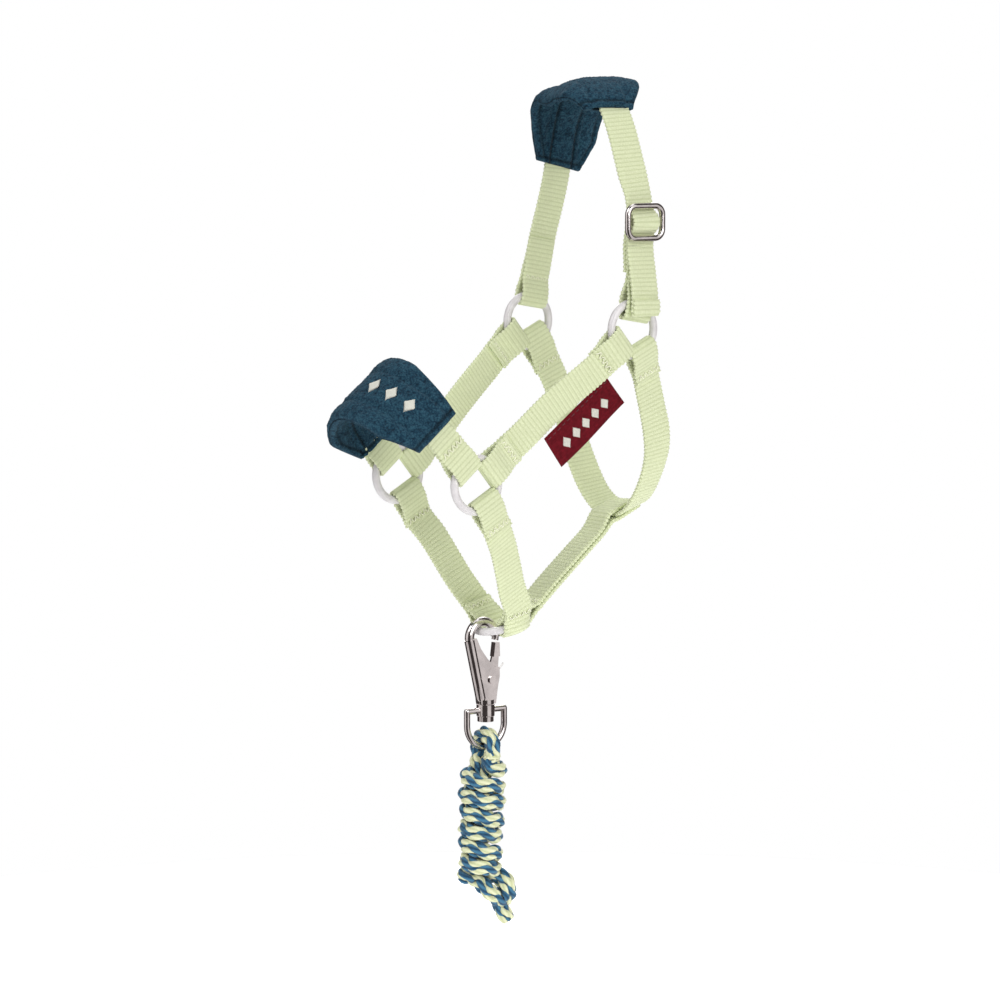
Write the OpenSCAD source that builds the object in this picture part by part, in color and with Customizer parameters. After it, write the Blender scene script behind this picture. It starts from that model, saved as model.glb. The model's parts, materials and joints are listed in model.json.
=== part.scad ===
// Toy-size head collar with fleece sleeves, a snap hook and a wound lead rope.
// Origin: middle of the crown strap where it crosses the poll, on the mid-plane.
// +Z is up as worn, -Y points to the nose, +X is the wearer's left (near) side.

/* [Webbing] */
// Width of all webbing
web_w = 10.2; // [9.6:0.1:10.2]
// Thickness of one layer of webbing
web_t = 1.2; // [1:0.1:1.25]

/* [Rings] */
// Outer diameter of a ring
ring_od = 19; // [18.8:0.1:19.2]
// Diameter of the ring's wire
ring_wire = 2.5; // [2.3:0.1:2.6]

/* [Sleeves] */
// Width of a fleece sleeve at its middle
sleeve_w = 27; // [25:1:29]
// Thickness of one fleece panel
fleece_t = 1.4; // [1.3:0.1:2]

/* [Hardware] */
// Wire diameter of the slider's frame
slider_wire = 2; // [1.8:0.1:2.1]
// Wire diameter of the snap hook
hook_wire = 3; // [2.8:0.1:3.1]
// Diameter of the gate's rivet
rivet_d = 1.6; // [1.4:0.1:1.8]

/* [Lead rope] */
// Diameter of the rope
rope_d = 5.4; // [5:0.1:5.5]

/* [Hidden] */

$fn = 48;
lime = [0.85, 0.9, 0.71];
teal = [0.11, 0.26, 0.36];
nickel = [0.75, 0.72, 0.7];
ring_white = [0.88, 0.86, 0.86];
burgundy = [0.43, 0.1, 0.14];
cream = [0.9, 0.9, 0.85];
blue = [0.18, 0.39, 0.57];

// centres of the rings; the far rings mirror the near ones
cheek_c = [27.5, -4.8, -76];
nose_c = [21.25, -60.3, -122.1];
lead_c = [0, -35.6, -168.9];
// tilt of the lead ring about X
lead_tilt = 15;
ring_r = (ring_od - ring_wire) / 2;
// directions in which each strap leaves a side ring, as angles from +Y towards +Z
crown_a = 80;
cheek_a = 219.7;
throat_a = -65;
// how far the throat strap leans inwards where it leaves the cheek rings
throat_lean = -12;
noseband_a = 130;
chin_a = -61;

// gap between a ring's wire and the webbing folded round it
wire_gap = 0.12;
loop_r = ring_wire / 2 + wire_gap + web_t;
loop_len = 9;
touch = 0.05;

// ---- vectors ----
function unit(v) = v / norm(v);
function turn_x(a) = [0, cos(a), sin(a)];
// Catmull-Rom point at t in the span i of the list q
function knot_at(q, i) = q[max(0, min(len(q) - 1, i))];
function cat(q, i, t) = 0.5 * (2 * q[i]
    + t * (knot_at(q, i + 1) - knot_at(q, i - 1))
    + t * t * (2 * knot_at(q, i - 1) - 5 * q[i] + 4 * knot_at(q, i + 1) - knot_at(q, i + 2))
    + t * t * t * (3 * q[i] - knot_at(q, i - 1) - 3 * knot_at(q, i + 1) + knot_at(q, i + 2)));
function smooth_path(q, n) = concat(
    [for (i = [0:len(q) - 2]) for (k = [0:n - 1]) cat(q, i, k / n)], [q[len(q) - 1]]);
function tangent(p, i) = unit(p[min(len(p) - 1, i + 1)] - p[max(0, i - 1)]);
function across_at(p, a, i) = unit(a[i] - (a[i] * tangent(p, i)) * tangent(p, i));

// A closed solid swept along p. a holds the direction of the width at each point,
// w the widths and [lo, hi] the faces along the normal, which is tangent x across.
module sweep_flat(p, a, w, lo, hi) {
    n = len(p);
    pts = [for (i = [0:n - 1])
        let (s = across_at(p, a, i), m = cross(tangent(p, i), s))
        each [p[i] - s * w[i] / 2 + m * lo, p[i] + s * w[i] / 2 + m * lo,
              p[i] + s * w[i] / 2 + m * hi, p[i] - s * w[i] / 2 + m * hi]];
    sides = [for (i = [0:n - 2]) for (k = [0:3])
        let (b = 4 * i, j = (k + 1) % 4)
        each [[b + k, b + 4 + j, b + j], [b + k, b + 4 + k, b + 4 + j]]];
    e = 4 * (n - 1);
    polyhedron(pts, concat(sides, [[0, 1, 2], [0, 2, 3], [e, e + 2, e + 1], [e, e + 3, e + 2]]));
}

module ribbon(path, across, spans = 3, thick = web_t) {
    p = smooth_path(path, spans);
    a = smooth_path(across, spans);
    sweep_flat(p, a, [for (i = p) web_w], -thick / 2, thick / 2);
}

// A round tube swept along p with the given number of sides
module sweep_round(p, r, sides = 8) {
    n = len(p);
    pts = [for (i = [0:n - 1])
        let (s = across_at(p, [for (j = p) [0, 1, 0.01]], i), m = cross(tangent(p, i), s))
        each [for (k = [0:sides - 1])
            let (b = 360 * k / sides) p[i] + r * (cos(b) * s + sin(b) * m)]];
    skin = [for (i = [0:n - 2]) for (k = [0:sides - 1])
        let (b = sides * i, j = (k + 1) % sides)
        each [[b + k, b + sides + j, b + j], [b + k, b + sides + k, b + sides + j]]];
    first = [for (k = [0:sides - 1]) k];
    last = [for (k = [0:sides - 1]) sides * n - 1 - k];
    polyhedron(pts, concat(skin, [first, last]));
}

// ---- rings and the webbing folded round them ----
module ring() {
    rotate_extrude($fn = 72) translate([ring_r, 0]) circle(d = ring_wire, $fn = 24);
}

// Section of a strap folded round the wire and sewn to itself
module fold_section(lean, length) {
    translate([ring_r, 0]) rotate(lean) difference() {
        union() {
            circle(r = loop_r);
            polygon([[0, loop_r], [1, loop_r], [6, web_t], [length, web_t],
                [length, -web_t], [6, -web_t], [1, -loop_r], [0, -loop_r]]);
        }
        circle(d = ring_wire + 2 * wire_gap);
    }
}

// The fold follows the ring's curve inside the ring and runs out flat beyond it
module fold(lean = 0, length = loop_len) {
    half = asin(web_w / 2 / ring_r) - 0.7;
    intersection() {
        rotate([0, 0, -half]) rotate_extrude(angle = 2 * half, $fn = 72)
            fold_section(lean, length);
        translate([0, -web_w / 2, -30]) cube([30, web_w, 60]);
    }
}

module at_side_ring(c, a) {
    translate(c) rotate([a, 0, 0]) rotate([90, 0, 90]) children();
}

module at_lead_ring(a) {
    translate(lead_c) rotate([lead_tilt, 0, 0]) rotate([0, 0, a]) children();
}

module far() {
    mirror([1, 0, 0]) children();
}

// a point a distance out from a side ring's centre, shifted sideways by x
function out(c, a, d, x = 0) = c + d * turn_x(a) + [x, 0, 0];

// the same for a strap whose fold leans sideways
function leaned_out(c, a, d, lean) =
    out(c, a, ring_r + (d - ring_r) * cos(lean), (d - ring_r) * sin(lean));

// ---- two rows of thread across a strap's end, on both of its faces ----
thread_t = 0.3;
module end_stitches(lean = 0) {
    for (d = [7, 8.2]) for (s = [-1, 1])
        translate([ring_r, 0, 0]) rotate([0, -lean, 0])
            translate([d, 0, s * (web_t + thread_t / 2 - touch)])
            cube([0.7, web_w - 1.6, thread_t], center = true);
}

// ---- crown: far strap, poll, slider and free tail ----
slider_c = [30.4, -2.2, -42.6];
slider_half_h = 5;
slider_half_w = 6.7;
bar_c = slider_c - [1.6, 0, 0];
bar_r = 0.85;
bar_gap = 0.1;
behind_frame = slider_c[0] - slider_wire / 2 - web_t / 2 - 0.15;
over_bar = bar_c[0] + bar_r + bar_gap + web_t * 1.5 + 0.1;

// the strap from the far ring over the poll to the slider
far_leg = [[-27.5, -2.2, -62.4], [-27.4, -1, -56.1], [-26.7, 0.8, -47.3], [-25.4, 2.5, -38.5],
    [-24.3, 4, -29.6], [-23.2, 4.6, -21.2], [-21, 4.4, -14.2], [-17.3, 3.6, -7.9]];
poll_arc = [[-12.3, 2.4, -3.1], [-6.2, 1, -0.7], [0.7, -0.4, 0.1], [7.3, -1.8, -0.8]];
near_leg = [[12.8, -3.1, -4], [17.2, -3.7, -9.2], [20.4, -3.7, -15], [23, -3.6, -21.5],
    [25.4, -3.4, -28], [27.5, -3, -34]];
through_slider = [[behind_frame, -2.8, -38.6], [over_bar - 0.9, -2.6, -40.7],
    [over_bar, -2.5, -42.6], [over_bar - 0.9, -2.6, -44.5], [behind_frame, -2.7, -46.6],
    [behind_frame, -2.8, -49.6]];
crown_path = concat(far_leg, poll_arc, near_leg, through_slider);
// the width runs fore and aft; near the poll it turns a little on either side
function crown_width(p) = p[0] < -12 ? [0, 0.98, -0.2] : p[2] < -30 || p[0] < 6 ? [0, 1, 0]
    : [0.15, 0.98, 0.05];
crown_across = [for (p = crown_path) crown_width(p)];

module crown_strap() {
    color(lime) {
        ribbon(crown_path, crown_across, 2);
        far() at_side_ring(cheek_c, crown_a) fold();
    }
}

tail_path = [[behind_frame, -2.8, -50.2], [29.2, -2.8, -54.3], [30.3, -2.8, -59.8],
    [31.4, -2.9, -65.3], [31.7, -3, -71.3]];
module crown_tail() {
    color(lime) {
        ribbon(tail_path, [for (p = tail_path) [0, 1, 0]]);
        hem = [tail_path[3] + [0.35, 0, 0], tail_path[4] + [0.35, 0, 0]];
        ribbon(hem, [for (p = hem) [0, 1, 0]], 2, web_t * 1.6);
    }
}

module slider_strap() {
    color(lime) {
        at_side_ring(cheek_c, crown_a) fold();
        p = [out(cheek_c, crown_a, 16), [27.2, -2.3, -54.3], [26.9, -2.3, -49.3],
            [27.7, -2.2, -45.3], bar_c - [0.9, 0, 1.2]];
        ribbon(p, [for (q = p) [0, 1, 0]], 3, web_t * 1.5);
        translate(bar_c) rotate([90, 0, 0]) difference() {
            cylinder(r = bar_r + bar_gap + web_t, h = web_w, center = true);
            cylinder(r = bar_r + bar_gap, h = web_w + 1, center = true);
        }
    }
}

// A wire bent to a rounded rectangle in the YZ plane
module wire_rectangle(half_w, half_h, corner, d) {
    for (sy = [-1, 1]) for (sz = [-1, 1])
        mirror([0, sy < 0 ? 1 : 0, 0]) mirror([0, 0, sz < 0 ? 1 : 0])
            translate([0, half_w - corner, half_h - corner]) rotate([90, 0, 90])
                rotate_extrude(angle = 90) translate([corner, 0]) circle(d = d, $fn = 24);
    for (s = [-1, 1]) {
        translate([0, 0, s * half_h]) rotate([90, 0, 0])
            cylinder(d = d, h = 2 * (half_w - corner), center = true, $fn = 24);
        translate([0, s * half_w, 0])
            cylinder(d = d, h = 2 * (half_h - corner), center = true, $fn = 24);
    }
}

module slider_frame() {
    color(nickel) translate(slider_c)
        wire_rectangle(slider_half_w, slider_half_h, 2.8, slider_wire);
}

module slider_bar() {
    color(nickel) {
        translate(bar_c) rotate([90, 0, 0])
            cylinder(r = bar_r, h = 2 * slider_half_w, center = true, $fn = 24);
        for (s = [-1, 1]) translate([slider_c[0], slider_c[1] + s * slider_half_w, slider_c[2]])
            difference() {
                translate([-0.7, 0, 0])
                    cylinder(r = slider_wire / 2 + 0.35, h = 2.2, center = true, $fn = 24);
                cylinder(d = slider_wire, h = 3, center = true, $fn = 24);
            }
    }
}

// ---- fleece sleeves: an outer and an inner panel over a stretch of strap ----
function run(p) = [for (i = 0, s = 0; i < len(p);
    s = s + (i + 1 < len(p) ? norm(p[i + 1] - p[i]) : 0), i = i + 1) s];
// half a sleeve is chamfered from end_w to the full width over 12 mm
chamfer = 12;
function sleeve_width(s, total, end_w) =
    end_w + (sleeve_w - end_w) * min(1, min(s, total - s) / chamfer);

module sleeve_panel(path, across, end_w, lo, hi) {
    p = smooth_path(path, 3);
    a = smooth_path(across, 3);
    s = run(p);
    sweep_flat(p, a, [for (d = s) sleeve_width(d, s[len(s) - 1], end_w)], lo, hi);
}

panel_lo = web_t / 2 + touch;
panel_hi = panel_lo + fleece_t;
poll_path = [for (p = concat([[-24.2, 4.1, -28.6]], [for (i = [5:7]) far_leg[i]], poll_arc,
    [for (i = [0:1]) near_leg[i]])) p - [0, max(0, p[0]) / 8, 0]];
poll_across = [for (p = poll_path) crown_width(p)];
poll_end_w = 17;

module poll_sleeve_outer() {
    color(teal) sleeve_panel(poll_path, poll_across, poll_end_w, panel_lo, panel_hi);
}

module poll_sleeve_inner() {
    color(teal) sleeve_panel(poll_path, poll_across, poll_end_w, -panel_hi, -panel_lo);
}

// Two lines of thread that close the channel round the strap
module channel_seams(path, across, side) {
    p = smooth_path(path, 3);
    a = smooth_path(across, 3);
    for (s = [-1, 1]) {
        q = [for (i = [1:len(p) - 2]) p[i] + s * (web_w / 2 + 1) * across_at(p, a, i)];
        b = [for (i = [1:len(p) - 2]) a[i]];
        sweep_flat(q, b, [for (i = q) 0.6], min(side * 0.2, side * panel_lo),
            max(side * 0.2, side * panel_lo));
    }
}

module poll_seams() {
    color(teal * 0.6) channel_seams(poll_path, poll_across, -1);
}

module crown_stitches() {
    color(cream) {
        at_side_ring(cheek_c, crown_a) end_stitches();
        far() at_side_ring(cheek_c, crown_a) end_stitches();
    }
}

// ---- cheek straps ----
cheek_run = norm([cheek_c[1] - nose_c[1], cheek_c[2] - nose_c[2]]);
function cheek_at(f, x) = [x, cheek_c[1] + f * (nose_c[1] - cheek_c[1]),
    cheek_c[2] + f * (nose_c[2] - cheek_c[2])];
cheek_path = [cheek_at(0.2, 27.5), cheek_at(0.3, 26.7),
    cheek_at(0.5, 24) + 0.5 * turn_x(cheek_a - 90), cheek_at(0.7, 21.8), cheek_at(0.8, 21.25)];
cheek_across = [for (p = cheek_path) turn_x(cheek_a + 90)];

module cheek_strap() {
    color(lime) {
        ribbon(cheek_path, cheek_across);
        at_side_ring(cheek_c, cheek_a) fold();
        at_side_ring(nose_c, cheek_a - 180) fold();
    }
}

module near_cheek_strap() {
    cheek_strap();
}

module far_cheek_strap() {
    far() cheek_strap();
}

// ---- throat strap: one piece from cheek ring to cheek ring under the jaw ----
throat_half = [leaned_out(cheek_c, throat_a, 16, throat_lean), [24.4, 4.2, -96],
    [23.6, 6.3, -102], [22.9, 8.3, -108.4], [21.6, 9.7, -114.6], [19.4, 10.3, -120],
    [16.6, 10.6, -125], [13.4, 10.8, -129.4], [9.8, 11, -132.8], [5.4, 11, -135], [0, 11, -135.2]];
throat_width = [turn_x(throat_a + 90), [0, 0.93, 0.36], [0, 0.94, 0.33], [0.05, 0.95, 0.3],
    [0, 0.97, 0.25], [-0.08, 0.97, 0.21], [-0.1, 0.97, 0.21], [-0.08, 0.97, 0.22],
    [-0.05, 0.96, 0.26], [0, 0.93, 0.36], [0, 0.9, 0.43]];
function both_sides(q) = concat(q, [for (i = [len(q) - 2:-1:0]) [-q[i][0], q[i][1], q[i][2]]]);
throat_path = both_sides(throat_half);
throat_across = both_sides(throat_width);

module throat_strap() {
    color(lime) {
        ribbon(throat_path, throat_across, 2);
        at_side_ring(cheek_c, throat_a) fold(throat_lean);
        far() at_side_ring(cheek_c, throat_a) fold(throat_lean);
    }
}

// ---- chin straps: nose ring to lead ring ----
chin_lean = 64;
chin_path = [out(nose_c, chin_a, 16), [18.8, -48.4, -142.3], [16.2, -44.4, -150.3],
    [13.4, -40.9, -157.6], [11.4, -38.8, -162.7]];
chin_across = [turn_x(chin_a + 90), [0, 0.88, 0.47], [0, 0.9, 0.43], [0, 0.93, 0.37],
    [0, 0.95, 0.31]];

module chin_strap() {
    color(lime) {
        ribbon(chin_path, chin_across);
        at_side_ring(nose_c, chin_a) fold();
        at_lead_ring(0) fold(chin_lean, 7.5);
    }
}

module near_chin_strap() {
    chin_strap();
}

module far_chin_strap() {
    far() chin_strap();
}

// ---- connector: lead ring to throat strap, with a tab sewn under the throat strap ----
connector_lean = 22;
connector_path = [[0, -22.2, -161.8], [0, -15.5, -156.3], [0, -6, -148.3], [0, 4.2, -139.7]];
// its two ends part above and below the throat strap, which is sewn between them
connector_tabs = [[web_t + 0.4, 8.6], [-web_t - 0.3, 13.4]];
module chin_connector() {
    color(lime) {
        ribbon(connector_path, [for (p = connector_path) [1, 0, 0]], 3, web_t * 2);
        for (tab = connector_tabs) {
            n = [0, -0.43, 0.9] * tab[0];
            p = [[0, 1, -142.4] + n / 2, [0, 4.4, -138.9] + n * 0.9,
                [0, 7.4, -136.9] + n, [0, 7.4, -136.9] + n + [0, 0.9, 0.43] * (tab[1] - 4.4)];
            ribbon(p, [for (q = p) [1, 0, 0]]);
        }
        at_lead_ring(90) fold(connector_lean, 7.5);
    }
}

module headstall_stitches() {
    color(cream) for (m = [0, 1]) mirror([m, 0, 0]) {
        at_side_ring(cheek_c, cheek_a) end_stitches();
        at_side_ring(nose_c, cheek_a - 180) end_stitches();
        at_side_ring(cheek_c, throat_a) end_stitches(throat_lean);
        at_side_ring(nose_c, chin_a) end_stitches();
    }
}

module side_ring(c) {
    color(ring_white) translate(c) rotate([0, 90, 0]) ring();
}

module near_cheek_ring() {
    side_ring(cheek_c);
}

module far_cheek_ring() {
    far() side_ring(cheek_c);
}

module near_nose_ring() {
    side_ring(nose_c);
}

module far_nose_ring() {
    far() side_ring(nose_c);
}

module lead_ring() {
    color(ring_white) at_lead_ring(0) ring();
}

// ---- noseband: an arch in the plane that holds X and the noseband direction ----
function nose_at(x, s) = [x, nose_c[1], nose_c[2]] + s * turn_x(noseband_a);
nose_half = [nose_at(21.25, 15.5), nose_at(20.9, 19), nose_at(19.6, 23.6), nose_at(16.6, 28.8),
    nose_at(11.9, 33.4), nose_at(6.1, 36.8), nose_at(0, 38.1)];
nose_path = concat(nose_half, [for (i = [5:-1:0])
    [-nose_half[i][0], nose_half[i][1], nose_half[i][2]]]);
nose_across = [for (p = nose_path) turn_x(noseband_a - 90)];
nose_sleeve_path = concat([nose_at(20.6, 20.4)], [for (i = [2:10]) nose_path[i]],
    [nose_at(-20.9, 18.6), nose_at(-21.4, 13)]);
nose_sleeve_across = [for (p = nose_sleeve_path) turn_x(noseband_a - 90)];
nose_end_w = 14;

module noseband_strap() {
    color(lime) {
        ribbon(nose_path, nose_across);
        at_side_ring(nose_c, noseband_a) fold();
        far() at_side_ring(nose_c, noseband_a) fold();
    }
}

module nose_sleeve_outer() {
    color(teal) sleeve_panel(nose_sleeve_path, nose_sleeve_across, nose_end_w,
        -panel_hi, -panel_lo);
}

module nose_sleeve_inner() {
    color(teal) sleeve_panel(nose_sleeve_path, nose_sleeve_across, nose_end_w,
        panel_lo, panel_hi);
}

module nose_seams() {
    color(teal * 0.6) channel_seams(nose_sleeve_path, nose_sleeve_across, 1);
}

// Three stitched lozenges in a row on the near shoulder of the nose sleeve
module nose_motif() {
    color(cream) for (i = [0:2]) {
        p = nose_at([14.3, 9, 3][i], [31.3, 35.4, 37.8][i]);
        t = unit(nose_at([16.6, 11.9, 6.1][i], [28.8, 33.4, 36.8][i])
            - nose_at([11.9, 6.1, 0][i], [33.4, 36.8, 38.1][i]));
        m = cross(t, turn_x(noseband_a - 90));
        translate(p + (panel_hi + 0.3) * m * (m * turn_x(noseband_a) > 0 ? 1 : -1))
            multmatrix([[t[0], 0, m[0], 0],
                [t[1], cos(noseband_a - 90), m[1], 0],
                [t[2], sin(noseband_a - 90), m[2], 0]])
                linear_extrude(0.4, center = true)
                    polygon([[2, 0], [0, 3], [-2, 0], [0, -3]]);
    }
}

module noseband_stitches() {
    color(cream) for (m = [0, 1]) mirror([m, 0, 0])
        at_side_ring(nose_c, noseband_a) end_stitches();
}

// ---- label hanging from the lower edge of the near cheek strap ----
label_len = 29;
label_w = 10.8;
label_t = 0.6;
label_yaw = atan2(nose_c[0] - cheek_c[0], cheek_run);
// X runs down the strap, Y away from its lower edge, Z outward
module at_label() {
    translate(cheek_at(0.43, 25.25)) rotate([cheek_a, 0, 0]) rotate([90, 0, 90])
        rotate([0, -label_yaw, 0]) translate([0, web_w / 2 + 0.3, 0]) children();
}

module label() {
    color(burgundy) at_label() translate([-label_len / 2, 0, -label_t / 2])
        cube([label_len, label_w, label_t]);
}

module label_motif() {
    color(cream) at_label() for (i = [-2:2])
        translate([i * 4.4, label_w / 2 + 0.6, label_t / 2 - 0.05]) linear_extrude(0.25)
            polygon([[1.6, 0], [0, 2.4], [-1.6, 0], [0, -2.4]]);
}

module label_stitches() {
    color(burgundy * 0.7) at_label() for (i = [-6:6])
        translate([i * 2.15, 1.1, 0]) cube([1.3, 0.35, label_t + 0.4], center = true);
}

// ---- snap hook, drawn in the plane of the hook and stood up in the YZ plane ----
// outline x runs to the rear (+Y) and outline y runs up (+Z), from the hook's own centre
ring_front = lead_c - ring_r * [0, cos(lead_tilt), sin(lead_tilt)];
hook_r = 5;
hook_c = ring_front + [0, 0.8, -1.95];
plate_t = 3;
slot_t = 1.9;
tongue_t = 0.8;
spring_d = 0.42;
spring_z = 0.65;
spring_low = -15.95;
rivet_p = [2.7, -13.6];
spine_foot = [-0.6, -19.3];
body_foot = -21.2;

module in_hook() {
    translate(hook_c) rotate([90, 0, 90]) children();
}

// an outline of the flat web below the hook's mouth
module web_outline() {
    difference() {
        polygon([[-4.8, 0], [-3.2, 0], [-1.6, -3.4], [0.8, -6.6], [3.6, -9.4], [5.6, -9.7],
            [5.7, -12.6], [4.9, -16.4], [4.2, body_foot], [-1.4, body_foot]]);
        translate(rivet_p) circle(d = rivet_d + 0.1, $fn = 24);
    }
}

module hook_wire_part() {
    rotate_extrude(angle = 186) translate([hook_r, 0]) circle(d = hook_wire, $fn = 24);
    rotate([0, 0, -14]) rotate_extrude(angle = 14.2) translate([hook_r, 0])
        circle(d = hook_wire - 0.8, $fn = 24);
}

module spine() {
    run = spine_foot + [hook_r, 0.5];
    translate([-hook_r, -0.5, 0]) rotate([0, 0, atan2(run[1], run[0])]) rotate([0, 90, 0])
        cylinder(d = hook_wire + 0.4, h = norm(run), $fn = 24);
    translate([spine_foot[0], spine_foot[1], 0]) sphere(d = hook_wire + 0.3, $fn = 24);
}

module hook_body() {
    color(nickel) in_hook() {
        hook_wire_part();
        spine();
        difference() {
            linear_extrude(plate_t, center = true) web_outline();
            // slot for the gate's tongue
            translate([0.6, -16.2, -slot_t / 2]) cube([8, 12, slot_t]);
        }
        // collar above the swivel
        translate([pin_off, body_foot + 0.7, 0]) rotate([90, 0, 0])
            cylinder(r = 2.7, h = 1.4, center = true);
    }
}

module gate() {
    color(nickel) in_hook() {
        difference() {
            linear_extrude(tongue_t, center = true)
                polygon([[1.4, -13.2], [1.9, -15.2], [3.8, -15.2], [5.6, -12.4], [6.1, -6],
                    [3.7, -6]]);
            translate(rivet_p) cylinder(d = rivet_d + 0.1, h = 5, center = true, $fn = 24);
        }
        linear_extrude(2.2, center = true)
            polygon([[3.7, -6.4], [6.1, -6.4], [5.9, -1.9], [4.3, -1.9]]);
    }
}

// One wire: a turn on the rivet on each side of the tongue, joined below the tongue,
// with an arm that runs out past the gate
module gate_spring() {
    leg_d = spring_d * 0.85;
    color(nickel) in_hook() {
        for (s = [-1, 1]) translate([0, 0, s * spring_z]) {
            translate(rivet_p) difference() {
                cylinder(r = 1.35, h = spring_d, center = true, $fn = 24);
                cylinder(d = rivet_d + 0.2, h = 1, center = true, $fn = 24);
            }
            translate([rivet_p[0] - 1.1, spring_low, 0]) rotate([-90, 0, 0])
                cylinder(d = leg_d, h = rivet_p[1] - spring_low, $fn = 16);
        }
        translate([rivet_p[0] - 1.1, spring_low + 0.1, 0])
            cylinder(d = spring_d, h = 2 * spring_z, center = true, $fn = 16);
        translate([rivet_p[0] + 1.1, rivet_p[1] + 0.4, spring_z]) rotate([-90, 0, -40])
            cylinder(d = leg_d, h = 6, $fn = 16);
    }
}

module gate_rivet() {
    color(nickel) in_hook() translate(rivet_p) {
        cylinder(d = rivet_d, h = plate_t + 0.2, center = true, $fn = 24);
        for (s = [-1, 1]) translate([0, 0, s * (plate_t / 2 + 0.3)])
            cylinder(d = 2.7, h = 0.6, center = true, $fn = 32);
    }
}

// ---- swivel ----
pin_off = 1.2;
pin_r = 1.4;
pin_y = hook_c[1] + pin_off;
swivel_top = hook_c[2] + body_foot - 0.15;
barrel_h = 3.6;
barrel_r = 2.9;
eye_wire = 2;
eye_half_w = 7.15;
eye_drop = 4.6;

module swivel_pin() {
    color(nickel) translate([0, pin_y, swivel_top]) {
        translate([0, 0, -barrel_h - 0.2]) cylinder(r = pin_r, h = barrel_h + 1.2);
        translate([0, 0, -barrel_h - 1.8]) cylinder(r = 2.6, h = 1.6);
    }
}

module swivel_eye() {
    color(nickel) translate([0, pin_y, swivel_top]) {
        difference() {
            union() {
                translate([0, 0, -barrel_h]) cylinder(r = barrel_r, h = barrel_h);
                translate([0, 0, -barrel_h / 2]) rotate([90, 0, 0])
                    cylinder(d = eye_wire, h = 2 * eye_half_w, center = true, $fn = 24);
            }
            translate([0, 0, -barrel_h - 1]) cylinder(r = pin_r + 0.1, h = barrel_h + 2);
        }
        for (s = [-1, 1]) translate([0, s * eye_half_w, -barrel_h / 2]) {
            sphere(d = eye_wire, $fn = 24);
            translate([0, 0, -eye_drop / 2])
                cylinder(d = eye_wire, h = eye_drop, center = true, $fn = 24);
        }
        translate([0, 0, -barrel_h / 2 - eye_drop]) rotate([-90, 0, 90]) rotate([0, 180, 0])
            rotate_extrude(angle = 180) translate([eye_half_w, 0]) circle(d = eye_wire, $fn = 24);
    }
}

// ---- lead rope: a loop through the eye, a wound hank and an end knot ----
eye_low = swivel_top - barrel_h / 2 - eye_drop - eye_half_w;
bend_r = rope_d / 2 + eye_wire / 2 + 0.25;
hank_top = eye_low - 5.4;
hank_len = 37;
hank_lean = 2.5;
hank_r = 7.6;
hank_shift = -0.8;
rope_route = [[-2.85, hank_shift, -5.4], [-3.4, 0, -2.6], [-bend_r, 0, 0], [-2.85, 0, 2.75],
    [0, 0, 3.95], [2.85, 0, 2.75], [bend_r, 0, 0], [3.4, 0, -2.6], [2.85, hank_shift, -5.4]];

module rope_loop() {
    color(blue) translate([0, pin_y, eye_low]) sweep_round(smooth_path(rope_route, 3), rope_d / 2);
}

module rope_hank() {
    color(cream) translate([0, pin_y + hank_shift, hank_top]) rotate([-hank_lean, 0, 0])
        translate([0, 0, -hank_len]) cylinder(r = hank_r, h = hank_len);
}

module rope_knot() {
    color(blue) translate([0, pin_y + 4.2, hank_top - hank_len - 3.2]) {
        sphere(r = 5.7, $fn = 32);
        rotate([20, 0, 0]) translate([0, 0, -11.9]) cylinder(r = 3.2, h = 9, $fn = 32);
    }
}

crown_strap();
crown_tail();
slider_strap();
slider_frame();
slider_bar();
poll_sleeve_outer();
poll_sleeve_inner();
poll_seams();
crown_stitches();
near_cheek_strap();
far_cheek_strap();
throat_strap();
near_chin_strap();
far_chin_strap();
chin_connector();
headstall_stitches();
near_cheek_ring();
far_cheek_ring();
near_nose_ring();
far_nose_ring();
lead_ring();
noseband_strap();
nose_sleeve_outer();
nose_sleeve_inner();
nose_seams();
nose_motif();
noseband_stitches();
label();
label_motif();
label_stitches();
hook_body();
gate();
gate_spring();
gate_rivet();
swivel_pin();
swivel_eye();
rope_loop();
rope_hank();
rope_knot();
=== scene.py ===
import itertools
import json
import math

import bpy
import numpy as np
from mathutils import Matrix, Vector, noise

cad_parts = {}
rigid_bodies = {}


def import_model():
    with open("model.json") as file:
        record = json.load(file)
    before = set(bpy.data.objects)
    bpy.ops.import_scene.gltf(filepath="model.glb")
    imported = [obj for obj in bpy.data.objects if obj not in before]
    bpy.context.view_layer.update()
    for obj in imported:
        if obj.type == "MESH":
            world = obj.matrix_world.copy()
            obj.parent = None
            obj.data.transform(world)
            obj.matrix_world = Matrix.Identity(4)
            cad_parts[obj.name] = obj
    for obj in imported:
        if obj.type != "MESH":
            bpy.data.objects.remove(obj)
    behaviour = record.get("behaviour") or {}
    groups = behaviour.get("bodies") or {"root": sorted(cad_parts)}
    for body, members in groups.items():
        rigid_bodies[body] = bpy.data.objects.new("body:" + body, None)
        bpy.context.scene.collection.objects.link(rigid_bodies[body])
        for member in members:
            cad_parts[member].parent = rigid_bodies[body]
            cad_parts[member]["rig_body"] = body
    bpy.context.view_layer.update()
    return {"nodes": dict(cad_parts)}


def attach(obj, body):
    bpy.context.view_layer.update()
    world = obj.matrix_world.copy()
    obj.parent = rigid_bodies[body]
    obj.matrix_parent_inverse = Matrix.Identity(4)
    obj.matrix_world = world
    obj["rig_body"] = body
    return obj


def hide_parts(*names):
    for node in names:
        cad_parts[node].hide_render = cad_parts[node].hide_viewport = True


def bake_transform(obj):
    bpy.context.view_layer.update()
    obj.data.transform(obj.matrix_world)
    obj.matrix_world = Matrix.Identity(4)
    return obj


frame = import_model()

MM = 0.001
rng = np.random.default_rng(11)

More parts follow.
